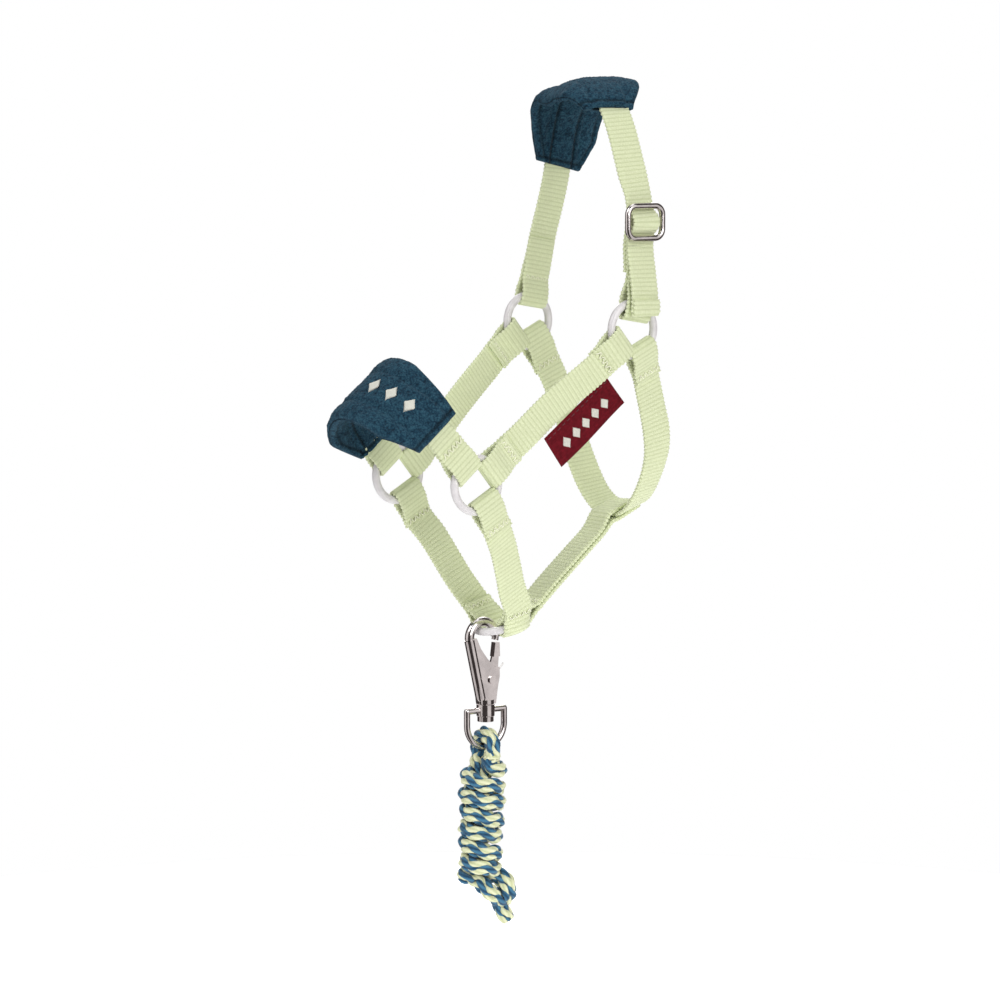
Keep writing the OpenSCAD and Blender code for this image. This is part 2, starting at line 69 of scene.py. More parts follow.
# ---------------------------------------------------------------- camera
LOOK_AT = Vector((-6.1, -31.5, -130.8)) * MM
AZIMUTH, ELEVATION, DISTANCE = math.radians(54), math.radians(6), 1.3
FOCAL_LENGTH, SENSOR_WIDTH = 148, 36


def make_camera():
    back = Vector((math.sin(AZIMUTH) * math.cos(ELEVATION),
                   -math.cos(AZIMUTH) * math.cos(ELEVATION), math.sin(ELEVATION)))
    data = bpy.data.cameras.new("camera")
    data.lens, data.sensor_width, data.clip_end = FOCAL_LENGTH, SENSOR_WIDTH, 20
    camera = bpy.data.objects.new("camera", data)
    camera.location = LOOK_AT + back * DISTANCE
    camera.rotation_euler = back.to_track_quat("Z", "Y").to_euler()
    bpy.context.collection.objects.link(camera)
    bpy.context.scene.camera = camera


make_camera()

# ---------------------------------------------------------------- driving sizes, in mm
WEB_W, WEB_T = 10.2, 1.2
HALF_W, HALF_T = WEB_W / 2, WEB_T / 2
RIB_PITCH, WARP_PITCH = 1.35, 0.9
LABEL_LEN, LABEL_W = 29, 10.8
LABEL_WEFT, LABEL_WARP = 0.3, 0.42
RING_R, RING_WIRE = 8.25, 2.5
# the middles of the rings on the near side and of the lead ring
CHEEK = np.array((27.5, -4.8, -76))
NOSE = np.array((21.25, -60.3, -122.1))
LEAD = np.array((0, -35.6, -168.9))
LEAD_TILT = math.radians(15)
# the directions in which straps leave the side rings, in degrees from the y axis
CROWN_A, CHEEK_A, THROAT_A, NOSEBAND_A, CHIN_A = 80, 219.7, -65, 130, -61
THROAT_LEAN = -12

# ---------------------------------------------------------------- vectors and curves, in mm
def vec(*xyz):
    return np.array(xyz, float)


def unit(v):
    v = np.asarray(v, float)
    return v / np.maximum(np.linalg.norm(v, axis=-1, keepdims=True), 1e-9)


def turn_x(degrees):
    """The y direction turned about the x axis."""
    a = math.radians(degrees)
    return vec(0, math.cos(a), math.sin(a))


def mirrored(points):
    return [vec(-p[0], p[1], p[2]) for p in points]


def smooth(rows, per_span):
    """A Catmull-Rom curve through the rows, which may hold more than three numbers each."""
    q = np.asarray(rows, float)
    before, after = np.vstack([q[:1], q[:-1]]), np.vstack([q[1:], q[-1:]])
    after2 = np.vstack([after[1:], after[-1:]])
    t = np.arange(per_span)[:, None, None] / per_span
    a, b, c, d = before[:-1], q[:-1], after[:-1], after2[:-1]
    spans = 0.5 * (2 * b + t * (c - a) + t ** 2 * (2 * a - 5 * b + 4 * c - d)
                   + t ** 3 * (3 * b - a - 3 * c + d))
    return np.vstack([spans.transpose(1, 0, 2).reshape(-1, q.shape[1]), q[-1:]])


def resample(rows, step):
    """Rows at an even distance along the first three numbers, and that distance."""
    run = np.concatenate([[0], np.cumsum(np.linalg.norm(np.diff(rows[:, :3], axis=0), axis=1))])
    s = np.linspace(0, run[-1], max(3, int(run[-1] / step) + 1))
    return np.column_stack([np.interp(s, run, rows[:, k]) for k in range(rows.shape[1])]), s


def frames(path, across):
    """Tangent, side and normal at each point of a path."""
    t = unit(np.gradient(path, axis=0))
    side = unit(across - (across * t).sum(1)[:, None] * t)
    return t, side, np.cross(t, side)


def carried(path, seed):
    """Side and up along a path, turning no more than the path itself does."""
    t = unit(np.gradient(path, axis=0))
    side = np.zeros_like(t)
    last = np.cross(t[0], seed)
    for i, d in enumerate(t):
        last = unit(last - last.dot(d) * d)
        side[i] = last
    return side, np.cross(t, side)


def fbm(points, scale, octaves):
    """Fractal noise whose coarsest lumps are about scale mm across."""
    return np.array([noise.fractal(Vector(p) / scale, 1.0, 2.0, octaves) for p in points])


# ---------------------------------------------------------------- meshes
def add_mesh(name, verts, faces, uv=None):
    """A smooth-shaded object; verts are in mm and uv is one pair per vertex."""
    mesh = bpy.data.meshes.new(name)
    mesh.from_pydata([tuple(v) for v in np.asarray(verts) * MM], [], faces)
    if uv is not None:
        loops = np.empty(len(mesh.loops), dtype=np.int32)
        mesh.loops.foreach_get("vertex_index", loops)
        layer = mesh.uv_layers.new(name="weave")
        layer.data.foreach_set("uv", np.asarray(uv, np.float32)[loops].ravel())
    mesh.polygons.foreach_set("use_smooth", [True] * len(mesh.polygons))
    mesh.update()
    obj = bpy.data.objects.new(name, mesh)
    bpy.context.collection.objects.link(obj)
    return obj


def tube_faces(rings, sides, capped=True):
    """Faces of a skin over rings of vertices that lie one after another."""
    out = []
    for i in range(rings - 1):
        a, b = i * sides, (i + 1) * sides
        out += [(a + k, a + (k + 1) % sides, b + (k + 1) % sides, b + k) for k in range(sides)]
    if capped:
        out.append(tuple(range(sides - 1, -1, -1)))
        out.append(tuple((rings - 1) * sides + k for k in range(sides)))
    return out


def joined(name, parts):
    """One object from several (verts, faces) or (verts, faces, uv) parts."""
    faces, n = [], 0
    for verts, part_faces, *_ in parts:
        faces += [tuple(i + n for i in face) for face in part_faces]
        n += len(verts)
    uv = np.vstack([p[2] for p in parts]) if len(parts[0]) > 2 else None
    return add_mesh(name, np.vstack([p[0] for p in parts]), faces, uv)


def round_skin(path, seed, radii, angles):
    """Vertices of rings round a path, with one radius per ring or one per vertex."""
    side, up = carried(path, seed)
    ring = (np.cos(angles)[None, :, None] * side[:, None]
            + np.sin(angles)[None, :, None] * up[:, None])
    return (path[:, None] + radii[..., None] * ring).reshape(-1, 3)


def round_angles(sides):
    return 2 * math.pi * np.arange(sides) / sides


def tube(path, radius, sides):
    """(verts, faces) of a round tube whose ends are drawn in."""
    path = np.asarray(path, float)
    radii = np.full((len(path), 1), float(radius))
    radii[[0, -1]] *= 0.35
    verts = round_skin(path, vec(0.31, 0.22, 0.93), radii, round_angles(sides))
    return verts, tube_faces(len(path), sides)


# ---------------------------------------------------------------- materials
def make_material(name, roughness, metallic=0.0, **inputs):
    material = bpy.data.materials.new(name)
    material.use_nodes = True
    shader = material.node_tree.nodes["Principled BSDF"]
    shader.inputs["Roughness"].default_value = roughness
    shader.inputs["Metallic"].default_value = metallic
    for key, value in inputs.items():
        shader.inputs[key.replace("_", " ")].default_value = value
    return material, material.node_tree, shader


def node(tree, kind, values=(), **settings):
    """A node with its settings, and values or links for its inputs."""
    n = tree.nodes.new("ShaderNode" + kind)
    for key, value in settings.items():
        setattr(n, key, value)
    for key, value in dict(values).items():
        if isinstance(value, bpy.types.NodeSocket):
            tree.links.new(value, n.inputs[key])
        else:
            n.inputs[key].default_value = value
    return n


def math_node(tree, operation, *values):
    return node(tree, "Math", dict(enumerate(values)), operation=operation).outputs[0]


def position(tree):
    """The surface point at rest, in mm."""
    place = node(tree, "TexCoord").outputs["Object"]
    return node(tree, "VectorMath", {0: place, "Scale": 1 / MM}, operation="SCALE").outputs[0]


def ramp(tree, factor, *stops):
    n = node(tree, "ValToRGB", {"Fac": factor})
    elements = n.color_ramp.elements
    while len(elements) < len(stops):
        elements.new(0.5)
    for element, (place, colour) in zip(elements, stops):
        element.position, element.color = place, (*colour, 1)
    return n.outputs["Color"]


def mixed(tree, factor, a, b, kind="MIX"):
    """Colours a and b mixed, or multiplied, by a factor."""
    return node(tree, "Mix", {0: factor, 6: a, 7: b}, data_type="RGBA",
                blend_type=kind).outputs[2]


def rgb(*c):
    return (*c, 1)


def bump(tree, shader, height, distance_mm):
    n = node(tree, "Bump", {"Height": height, "Distance": distance_mm * MM, "Strength": 1.0})
    tree.links.new(n.outputs["Normal"], shader.inputs["Normal"])


def surface_noise(tree, scale, detail, roughness=0.5):
    """Noise that stays on the piece, with about scale lumps to each mm."""
    return node(tree, "TexNoise", {"Vector": position(tree), "Scale": scale, "Detail": detail,
                                   "Roughness": roughness}).outputs[0]


def weave_uv(tree):
    """Across and along a woven piece in mm, or yarns round and mm along a strand."""
    uv = node(tree, "SeparateXYZ", {0: node(tree, "UVMap", uv_map="weave").outputs[0]}).outputs
    return uv["X"], uv["Y"]


def ripple(tree, along, pitch, shift=0.0):
    """A cosine wave with one turn per pitch, shifted by some radians."""
    angle = math_node(tree, "MULTIPLY_ADD", along, 2 * math.pi / pitch, shift)
    return math_node(tree, "COSINE", angle)


def webbing_material():
    """Pale green ribbed webbing: fine warp stitches on each rib, with painted shade darkening the
    valleys between.
    """
    m, tree, shader = make_material("webbing_weave", 0.82, Sheen_Weight=0.25,
                                    Sheen_Roughness=0.5, Specular_IOR_Level=0.25)
    u, v = weave_uv(tree)
    rib = math_node(tree, "MULTIPLY_ADD", ripple(tree, v, RIB_PITCH / 2), -0.45,
                    ripple(tree, v, RIB_PITCH))
    # the stitches of one rib lie half a pitch on from those of the next
    turns = math_node(tree, "DIVIDE", v, RIB_PITCH)
    rib_number = math_node(tree, "FLOOR", math_node(tree, "ADD", turns, 0.5))
    warp = ripple(tree, u, WARP_PITCH, math_node(tree, "MULTIPLY", rib_number, math.pi))
    cell = math_node(tree, "MULTIPLY_ADD", warp, 0.22, rib)
    # painted light and shade: colour lighter on the crests of ribs and warp stitches, darker in
    # the valleys between them
    shade = math_node(tree, "MULTIPLY_ADD", cell, 0.28, 0.5)
    colour = ramp(tree, shade, (0.05, (0.64, 0.70, 0.43)), (0.45, (0.73, 0.79, 0.51)),
                  (0.9, (0.80, 0.86, 0.59)))
    speck = ramp(tree, surface_noise(tree, 1.6, 3), (0.3, (0.90, 0.91, 0.86)),
                 (0.7, (1.0, 1.0, 1.0)))
    tree.links.new(mixed(tree, 1.0, colour, speck, "MULTIPLY"), shader.inputs["Base Color"])
    fibre = surface_noise(tree, 4, 2)
    bump(tree, shader, math_node(tree, "MULTIPLY_ADD", fibre, 0.5, cell), 0.035)
    return m


def thread_material(name, light, dark, twist=0.45, sheen=0.3):
    """Twisted sewing thread, whose turns are longer where twist is larger."""
    m, tree, shader = make_material(name, 0.7, Sheen_Weight=sheen)
    wave = node(tree, "TexWave",
                {"Vector": position(tree), "Scale": 1 / twist, "Distortion": 1.5},
                bands_direction="DIAGONAL").outputs["Fac"]
    tree.links.new(ramp(tree, wave, (0.2, dark), (0.8, light)), shader.inputs["Base Color"])
    bump(tree, shader, wave, 0.04)
    return m


def fleece_material():
    """Short dense pile, lighter on the tips and a little clumped, with painted shade in sewn
    creases and in sheltered hollows.
    """
    m, tree, shader = make_material("fleece_pile", 0.95, Sheen_Weight=0.12, Sheen_Roughness=0.6,
                                    Specular_IOR_Level=0.1)
    shader.inputs["Sheen Tint"].default_value = rgb(0.45, 0.62, 0.72)
    clump = math_node(tree, "MULTIPLY", surface_noise(tree, 0.55, 4), 0.5)
    tips = math_node(tree, "MULTIPLY_ADD", surface_noise(tree, 2.6, 5, 0.7), 0.7, clump)
    pile = node(tree, "TexVoronoi", {"Vector": position(tree), "Scale": 1.5}).outputs["Distance"]
    mix = math_node(tree, "MULTIPLY_ADD", pile, -0.35, tips)
    colour = ramp(tree, mix, (0.16, (0.003, 0.012, 0.024)), (0.36, (0.009, 0.040, 0.072)),
                  (0.62, (0.034, 0.108, 0.160)))
    # painted shade: the colour darkens in the sewn creases and where the AO node finds surfaces
    # close by
    crease_shade = node(tree, "Attribute", attribute_name="crease_shade").outputs["Fac"]
    sheltered = node(tree, "AmbientOcclusion", {"Distance": 9 * MM}, samples=8).outputs["AO"]
    lit = ramp(tree, sheltered, (0.35, (0.15, 0.15, 0.15)), (0.85, (1, 1, 1)))
    lit = mixed(tree, crease_shade, lit, rgb(0.12, 0.12, 0.12))
    tree.links.new(mixed(tree, 1.0, colour, lit, "MULTIPLY"), shader.inputs["Base Color"])
    bump(tree, shader, mix, 0.6)
    return m


def label_material():
    """Woven satin ribbon: close-set weft lines and a soft shine along them."""
    m, tree, shader = make_material("label_satin", 0.7, Specular_IOR_Level=0.12)
    u, v = weave_uv(tree)
    quarter = -math.pi / 2
    cloth = math_node(tree, "MULTIPLY", ripple(tree, v, LABEL_WEFT, quarter),
                      ripple(tree, u, LABEL_WARP, quarter))
    mix = math_node(tree, "MULTIPLY_ADD", cloth, 0.22, surface_noise(tree, 0.8, 3))
    colour = ramp(tree, mix, (0.25, (0.105, 0.004, 0.009)), (0.75, (0.19, 0.008, 0.017)))
    tree.links.new(colour, shader.inputs["Base Color"])
    bump(tree, shader, cloth, 0.05)
    return m


def rope_material(name, light, mid, dark):
    """Soft yarn with a random grain, painted shade where the yarns of a strand meet and painted
    shadow deep between strands.
    """
    m, tree, shader = make_material(name, 0.78, Sheen_Weight=0.25, Specular_IOR_Level=0.25)
    yarns_round, _ = weave_uv(tree)
    # painted shade: each yarn lighter along its middle and darker where it meets the next
    yarn = math_node(tree, "MULTIPLY_ADD", ripple(tree, yarns_round, 1), 0.5, 0.5)
    grain = surface_noise(tree, 2.2, 4)
    mix = math_node(tree, "MULTIPLY_ADD", yarn, 0.55, math_node(tree, "MULTIPLY", grain, 0.5))
    yarns = ramp(tree, mix, (0.22, dark), (0.5, mid), (0.8, light))
    # painted shadow: the colour falls to a quarter of the darkest tone where the AO node finds
    # yarn close by
    open_sky = node(tree, "AmbientOcclusion", {"Distance": 1.3 * MM}, samples=8).outputs["AO"]
    shown = ramp(tree, open_sky, (0.1, (0, 0, 0)), (0.62, (1, 1, 1)))
    gap_shadow = rgb(*(0.25 * c for c in dark))
    tree.links.new(mixed(tree, shown, gap_shadow, yarns), shader.inputs["Base Color"])
    bump(tree, shader, math_node(tree, "MULTIPLY_ADD", grain, 0.5, yarn), 0.12)
    return m


def nickel_material(name="nickel_plate", roughness=0.12, tint=(0.74, 0.70, 0.685)):
    """Polished nickel plate with faint scuffs and slight tarnish."""
    m, tree, shader = make_material(name, roughness, 1.0)
    cloud, fine = surface_noise(tree, 0.35, 3), surface_noise(tree, 4, 4)
    light = tuple(min(1, c * 1.08) for c in tint)
    dark = tuple(c * 0.86 for c in tint)
    tree.links.new(ramp(tree, cloud, (0.3, dark), (0.65, light)), shader.inputs["Base Color"])
    tree.links.new(math_node(tree, "MULTIPLY_ADD", fine, 0.12, roughness - 0.05),
                   shader.inputs["Roughness"])
    bump(tree, shader, fine, 0.01)
    return m


def ring_material():
    """Off-white satin coating with the least orange peel."""
    m, tree, shader = make_material("ring_coating", 0.3, Coat_Weight=0.3, Coat_Roughness=0.15)
    cloud, fine = surface_noise(tree, 0.5, 3), surface_noise(tree, 2.5, 2)
    tree.links.new(ramp(tree, cloud, (0.3, (0.70, 0.68, 0.69)), (0.7, (0.80, 0.78, 0.79))),
                   shader.inputs["Base Color"])
    bump(tree, shader, fine, 0.02)
    return m


WEBBING = webbing_material()
THREAD = thread_material("cream_thread", (0.95, 0.97, 0.76), (0.82, 0.86, 0.60))
MOTIF_THREAD = thread_material("motif_thread", (0.88, 0.88, 0.80), (0.62, 0.62, 0.54), 0.6)
FLEECE = fleece_material()
FLEECE_THREAD = thread_material("fleece_thread", (0.006, 0.024, 0.044), (0.003, 0.012, 0.024),
                                sheen=0.0)
LABEL = label_material()
LABEL_THREAD = thread_material("label_thread", (0.16, 0.012, 0.025), (0.07, 0.004, 0.010))
ROPE_PALE = rope_material("rope_pale_yarn", (0.80, 0.82, 0.55), (0.73, 0.76, 0.48),
                          (0.58, 0.62, 0.36))
ROPE_BLUE = rope_material("rope_blue_yarn", (0.060, 0.20, 0.33), (0.028, 0.125, 0.235),
                          (0.008, 0.045, 0.10))
NICKEL = nickel_material()
STEEL = nickel_material("spring_wire", 0.25, (0.62, 0.60, 0.58))
RING = ring_material()

# ---------------------------------------------------------------- placing a piece
def body_of(cad_node):
    return frame["nodes"][cad_node]["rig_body"]


def dress(obj, material, body, slot, *nodes):
    """The last steps for a piece: its material, its body and what it replaces; slot is not used.
    """
    obj.data.materials.append(material)
    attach(obj, body)
    if nodes:
        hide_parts(*nodes)
    return obj


# ---------------------------------------------------------------- lead rope
# the hook hangs in the lead ring, the swivel below the hook, and the rope from the swivel's eye
HOOK = LEAD - RING_R * vec(0, math.cos(LEAD_TILT), math.sin(LEAD_TILT)) + vec(0, 0.8, -1.95)
HOOK_DROP, PIN_OFF, BARREL_H = 21.2, 1.2, 3.6
EYE_HALF, EYE_DROP, EYE_WIRE = 7.15, 4.6, 2
PIN_Y = HOOK[1] + PIN_OFF
SWIVEL_TOP = HOOK[2] - HOOK_DROP - 0.15
EYE_LOW = SWIVEL_TOP - BARREL_H / 2 - EYE_DROP - EYE_HALF
ROPE_D, ROPE_STEP = 5.4, 0.45
# the braid's strands: length of a turn, radius, distance from the rope's middle, and their yarns
STRAND_TURN, STRAND_R, BRAID_R = 26, 1.0, 1.42
YARN_TURN, YARNS = 8, 3
# from the middle of the eye's wire to the middle of the rope bent over it
BEND = ROPE_D / 2 + EYE_WIRE / 2 + 0.25
HANK_TOP, HANK_LEN, HANK_SHIFT = EYE_LOW - 5.4, 37, -0.8
HANK_LEAN = math.radians(2.5)
EYE = vec(0, PIN_Y, EYE_LOW)
# the loop through the swivel's eye, from the eye's lowest point
ROPE_LOOP = [(-2.85, HANK_SHIFT, -5.4), (-3.4, 0, -2.6), (-BEND, 0, 0), (-2.85, 0, 2.75),
             (0, 0, 3.95), (2.85, 0, 2.75), (BEND, 0, 0), (3.4, 0, -2.6), (2.85, HANK_SHIFT, -5.4)]
WRAPS, WRAP_R, WRAP_STEPS = 6.75, 4.7, 14
RIGHT, TOWARDS, UP = vec(0.588, 0.809, 0), vec(0.809, -0.588, 0), vec(0, 0, 1)
# the stopper knot from its own middle, as steps to the right, towards the viewer and up
KNOT = [(-6.8, 2.4, 3.4), (-3.8, 3.7, 1.0), (-0.8, 3.4, -1.9), (2, 0.9, -3.6), (2.9, -2.2, -1.2),
        (1.2, -3, 2.2), (-1.9, -1, 4.1), (-0.2, 1.7, 4.6), (2.9, 2.7, 3), (3.9, 2.6, -0.6),
        (2.6, 0.8, -3.2), (1.2, -0.2, -4.8), (2, 0.2, -7.4), (4, 0.5, -10.6)]


def hank_point(x, y, z):
    """A point of the hank, whose axis leans back a little as it goes down."""
    c, s = math.cos(HANK_LEAN), math.sin(HANK_LEAN)
    return vec(0, PIN_Y + HANK_SHIFT, HANK_TOP) + vec(x, c * y + s * z, -s * y + c * z)


def rope_route():
    """From inside the hank through the eye, round the hank and into the stopper knot."""
    core = [hank_point(-0.6, 0.3, z) for z in (-21, -17, -12, -6, -2.5)]
    loop = [EYE + vec(*p) for p in ROPE_LOOP]
    wraps = []
    count = int(WRAPS * WRAP_STEPS)
    for i in range(1, count):
        a = 2 * math.pi * i / WRAP_STEPS
        wobble = 0.25 * math.sin(a / 7.3) + 0.2 * math.sin(a * 0.61 + 1)
        drop = -1.0 - (HANK_LEN - 1.6) * i / count
        sag = 0.35 * math.sin(a * 0.5 + 0.4)
        out = WRAP_R + wobble
        wraps.append(hank_point(out * math.cos(a), out * math.sin(a), drop + sag))
    middle = vec(0, PIN_Y + 4.2, HANK_TOP - HANK_LEN - 3.2)
    knot = [middle + r * RIGHT + b * TOWARDS + z * UP for r, b, z in KNOT]
    return resample(smooth(core + loop + wraps + knot, 10), ROPE_STEP)[0]


def strand(route, s, side, up, phase, sense):
    """Path of one of the braid's strands, four going round each way, over and under."""
    turn = 2 * math.pi / STRAND_TURN
    angle = phase + sense * turn * s
    out = BRAID_R + sense * 0.4 * np.cos(4 * turn * s)
    return route + (out * np.cos(angle))[:, None] * side + (out * np.sin(angle))[:, None] * up


def yarn_tube(path, s, twist):
    """A plump strand whose section shows the yarns it is laid from."""
    angles = round_angles(4 * YARNS)
    yarn = YARNS * (angles + 2 * math.pi * s[:, None] / twist) / (2 * math.pi)
    radii = STRAND_R * (1 + 0.045 * np.cos(2 * math.pi * yarn))
    radii[[0, -1]] *= 0.3
    verts = round_skin(path, vec(0.2, 0.9, 0.3), radii, angles)
    uv = np.stack([yarn, np.broadcast_to(s[:, None], yarn.shape)], -1).reshape(-1, 2)
    return verts, tube_faces(len(path), len(angles)), uv


def make_rope():
    route = rope_route()
    s = np.arange(len(route)) * ROPE_STEP
    _, side, up = frames(route, np.tile(vec(0.3, 0.2, 0.93), (len(route), 1)))
    parts, colours = [], []
    for k, sense in itertools.product(range(4), (1, -1)):
        path = strand(route, s, side, up, k * math.pi / 2, sense)
        parts.append(yarn_tube(path, s, YARN_TURN * sense))
        colours += [int(sense > 0)] * len(parts[-1][1])
    rope = joined("lead_rope", parts)
    dress(rope, ROPE_PALE, "rope", "rope", "rope_loop", "rope_hank", "rope_knot")
    rope.data.materials.append(ROPE_BLUE)
    rope.data.polygons.foreach_set("material_index", colours)


make_rope()

# ---------------------------------------------------------------- webbing
RIB_STEP = RIB_PITCH / 7
EDGE_WAVE, EDGE_NOISE = 0.12, 0.025


def web_section():
    """Unit outline of a strap: across from -1 to 1 and through from -1 to 1, edges rounded."""
    flat = np.linspace(-0.92, 0.92, 11)
    edge = [(0.97, 0.82), (0.998, 0.35), (0.998, -0.35), (0.97, -0.82)]
    top = [(x, 1.0) for x in flat]
    return np.array(top + edge + [(-x, -1.0) for x in flat] + [(-x, -y) for x, y in edge])


SECTION = web_section()


def strap(rows):
    """(verts, faces, uv) of ribbed webbing. Each row holds a point, the direction of the width
    and how far the strap's edges are drawn away from its middle."""
    rows, s = resample(smooth(rows, 10), RIB_STEP)
    path, across, bow = rows[:, :3], rows[:, 3:6], rows[:, 6:9]
    _, side, normal = frames(path, across)
    sway = np.interp(s, np.linspace(0, s[-1], 9), rng.normal(0, EDGE_WAVE, 9))
    rib = np.cos(2 * math.pi * s / RIB_PITCH)
    half = HALF_W + 0.15 * rib + rng.normal(0, EDGE_NOISE, len(s)) - 0.06
    thick = HALF_T * (0.95 + 0.07 * rib)
    thick[:2] *= 0.9
    u, n = SECTION[:, 0], SECTION[:, 1]
    verts = (path[:, None] + side[:, None] * (half[:, None] * u + sway[:, None] * 0.4)[..., None]
             + normal[:, None] * (thick[:, None] * n)[..., None]
             + bow[:, None] * (u ** 2)[None, :, None])
    uv = np.stack([np.broadcast_to(half[:, None] * u, verts.shape[:2]),
                   np.broadcast_to(s[:, None], verts.shape[:2])], -1)
    return verts.reshape(-1, 3), tube_faces(len(s), len(u)), uv.reshape(-1, 2)


def row(point, across, bow=(0, 0, 0)):
    """One row of a strap: a point, the direction of the width and the edges' bow."""
    return [*point, *across, *bow]


def side_place(c, a, lean=0.0):
    """How a strap's section at a side ring lies in space: out along the strap and sideways."""
    c, radial, k = np.asarray(c), turn_x(a), math.radians(lean)
    outward = vec(1 if c[0] > 0 else -1, 0, 0)

    def place(d, h, u=0.0):
        d, h = d * math.cos(k) - h * math.sin(k), d * math.sin(k) + h * math.cos(k)
        return c + (RING_R + d) * radial + h * outward + u * turn_x(a + 90)
    return place


def lead_axes(a):
    """Radial, tangent and axis directions of the tilted lead ring at an angle."""
    a, ct, st = math.radians(a), math.cos(LEAD_TILT), math.sin(LEAD_TILT)
    return (vec(math.cos(a), math.sin(a) * ct, math.sin(a) * st),
            vec(-math.sin(a), math.cos(a) * ct, math.cos(a) * st), vec(0, -st, ct))


def lead_place(a, lean):
    """The same for a strap at the lead ring."""
    radial, tangent, axis = lead_axes(a)
    k = math.radians(lean)

    def place(d, h, u=0.0):
        d, h = d * math.cos(k) - h * math.sin(k), d * math.sin(k) + h * math.cos(k)
        return LEAD + (RING_R + d) * radial + h * axis + u * tangent
    return place


# how far the middle of a strap's thickness lies from the middle of the wire it turns round
OFF_WIRE = RING_WIRE / 2 + HALF_T + 0.12
# a fold's section, from the strap round the wire to the tail: out from the wire, sideways
STRAIGHT_FOLD = [(8.2, -0.35), (5.75, -0.62), (3.75, -1.15), (1.95, -1.8), (0, -OFF_WIRE),
                 (-2.05, -1.92), (-3.4, -1.4), (-3.95, 0), (-3.4, 1.4), (-2.05, 1.92),
                 (0, OFF_WIRE), (1.95, 1.75), (3.75, 1.22), (5.75, 0.68), (7.4, 0.86),
                 (8.9, 0.98)]
SNUG_FOLD = [(6.6, -0.5), (5, -0.66), (3.6, -0.98), (2.1, -1.55), (0.4, -OFF_WIRE),
             (-1.3, -1.55), (-1.99, 0), (-1.3, 1.55), (0.4, OFF_WIRE), (2.1, 1.6), (3.6, 1.05),
             (5, 0.72), (6.2, 0.8), (7.2, 0.86)]
# how far the lead ring falls away from a straight line across a strap's half width
BOW = RING_R - math.sqrt(RING_R ** 2 - HALF_W ** 2)


def fold(place, across, tail=1, more=(), slack=1.0, profile=STRAIGHT_FOLD, bow=None):
    """Rows from the tail's end round a ring to the strap. tail picks the side the tail lies on,
    more adds to its length, and slack says how far the turn stands off the wire.
    bow is the direction in which the ring's curve draws the strap's edges."""
    bow = vec(0, 0, 0) if bow is None else bow
    rows = []
    for d, h in [*more[::-1], *profile[::-1]]:
        d = d * slack if d < -1 else d
        share = max(0.0, min(1.0, 1 - (d - 1.5) / 5))
        rows.append(row(place(d, tail * h), across, share * bow))
    return rows


def far_place(place):
    """The same place at the far side's ring."""
    return lambda d, h, u=0.0: place(d, h, u) * vec(-1, 1, 1)


def flip(rows):
    """Rows of the same strap on the far side."""
    return [[-r[0], r[1], r[2], -r[3], r[4], r[5], -r[6], r[7], r[8]] for r in rows]


def add_strap(name, rows, cad_node):
    dress(add_mesh(name, *strap(rows)), WEBBING, body_of(cad_node), "webbing", cad_node)


FORE_AFT = vec(0, 1, 0)
SLIDER, SLIDER_WIRE = vec(30.4, -2.2, -42.6), 2
BAR, BAR_R, BAR_GAP = SLIDER - vec(1.6, 0, 0), 0.85, 0.1
# where the strap lies behind the slider's frame, and over its bar and the strap fixed there
BEHIND = SLIDER[0] - SLIDER_WIRE / 2 - HALF_T - 0.15
OVER = BAR[0] + BAR_R + BAR_GAP + WEB_T * 1.5 + 0.1
# the crown from the far cheek ring over the poll, down the near side and through the slider
FAR_LEG = [(-27.5, -2.2, -62.4), (-27.4, -1, -56.1), (-26.7, 0.8, -47.3), (-25.4, 2.5, -38.5),
           (-24.3, 4, -29.6), (-23.2, 4.6, -21.2), (-21, 4.4, -14.2), (-17.3, 3.6, -7.9)]
POLL_ARC = [(-12.3, 2.4, -3.1), (-6.2, 1, -0.7), (0.7, -0.4, 0.1), (7.3, -1.8, -0.8)]
NEAR_LEG = [(12.8, -3.1, -4), (17.2, -3.7, -9.2), (20.4, -3.7, -15), (23, -3.6, -21.5),
            (25.4, -3.4, -28), (27.5, -3, -34)]
THROUGH = [(BEHIND, -2.8, -38.6), (OVER - 0.9, -2.6, -40.7), (OVER, -2.5, -42.6),
           (OVER - 0.9, -2.6, -44.5), (BEHIND, -2.7, -46.6), (BEHIND, -2.8, -50)]


def crown_width(p):
    """The direction of the crown's width, which turns a little as it goes over the poll."""
    if p[0] < -12:
        return vec(0, 0.98, -0.2)
    return vec(0, 1, 0) if p[2] < -30 or p[0] < 6 else vec(0.15, 0.98, 0.05)


